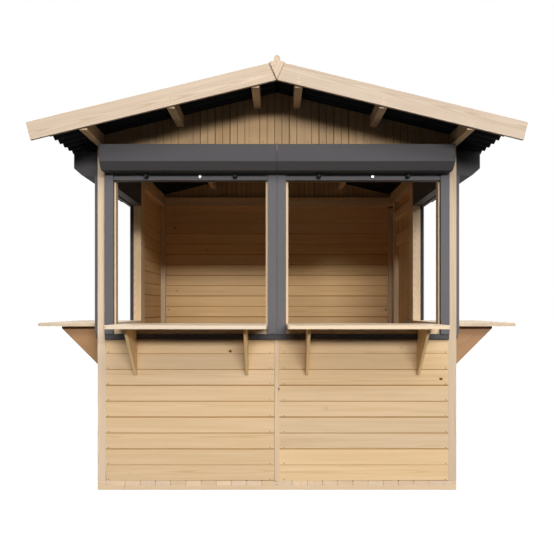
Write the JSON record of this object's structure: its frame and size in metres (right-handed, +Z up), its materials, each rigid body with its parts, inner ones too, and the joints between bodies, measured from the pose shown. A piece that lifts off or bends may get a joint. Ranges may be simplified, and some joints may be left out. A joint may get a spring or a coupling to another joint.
{
  "type": "wooden market hut",
  "caption": "Wooden market hut with a corrugated gable roof, serving openings under rolled-up shutters, counters on brackets and a hinged side door.",
  "frame": {"origin": "on the ground, at the middle of the hut's plan, under the middle floor bearer", "axes": "+Z up, -Y towards the serving front, +X to the right of someone who faces the front"},
  "size_m": [3.18, 3.176, 2.6223],
  "materials": {
    "wall_boards": "planed, untreated spruce",
    "gable_boards": "planed, untreated spruce",
    "floor_timber": "planed, untreated spruce",
    "frame_timber": "planed, untreated spruce",
    "barge_timber": "planed, untreated spruce",
    "counter_timber": "planed, untreated spruce",
    "bracket_timber": "planed, untreated spruce",
    "door_boards": "planed, untreated spruce",
    "bitumen_sheet": "matt, corrugated bitumen fibre",
    "shutter_metal": "satin powder coat",
    "hinge_steel": "galvanised",
    "knob_metal": "satin"
  },
  "bodies": {
    "hut": {"apex_keys": "barge_timber", "bottom_rails": "frame_timber", "corner_posts": "frame_timber", "cover_strips": "frame_timber", "door_hinge_plates": "hinge_steel", "door_stops": "frame_timber", "floor_bearers": "floor_timber", "floor_deck": "floor_timber", "front_brackets": "bracket_timber", "front_gable": "gable_boards", "front_left_barge_board": "barge_timber", "front_left_counter": "counter_timber", "front_left_shutter_box": "shutter_metal", "front_mullion": "frame_timber", "front_right_barge_board": "barge_timber", "front_right_counter": "counter_timber", "front_right_shutter_box": "shutter_metal", "front_shutter_guides": "shutter_metal", "front_wall": "wall_boards", "gable_rails": "frame_timber", "head_rails": "frame_timber", "jamb_posts": "frame_timber", "left_brackets": "bracket_timber", "left_counter": "counter_timber", "left_shutter_box": "shutter_metal", "left_shutter_guides": "shutter_metal", "left_wall": "wall_boards", "mid_posts": "frame_timber", "purlins": "frame_timber", "rear_gable": "gable_boards", "rear_left_barge_board": "barge_timber", "rear_right_barge_board": "barge_timber", "rear_wall": "wall_boards", "ridge_cap": "bitumen_sheet", "right_brackets": "bracket_timber", "right_counter": "counter_timber", "right_shutter_box": "shutter_metal", "right_shutter_guides": "shutter_metal", "right_wall": "wall_boards", "roof_sheet_left": "bitumen_sheet", "roof_sheet_right": "bitumen_sheet", "shutter_bottom_bars": "shutter_metal", "shutter_sills": "shutter_metal", "sill_rails": "frame_timber", "top_rails": "frame_timber", "wall_plates": "frame_timber"},
    "door": {"door_leaf": "door_boards", "door_ledges": "door_boards", "door_straps": "hinge_steel", "door_knobs": "knob_metal"}
  },
  "joints": [
    {"name": "door_hinge", "type": "hinge", "parent": "hut", "child": "door", "pos_m": [1.158, 0.7795, 1.0215], "axis": [0, 0, 1], "range_deg": [0, 100]}
  ]
}
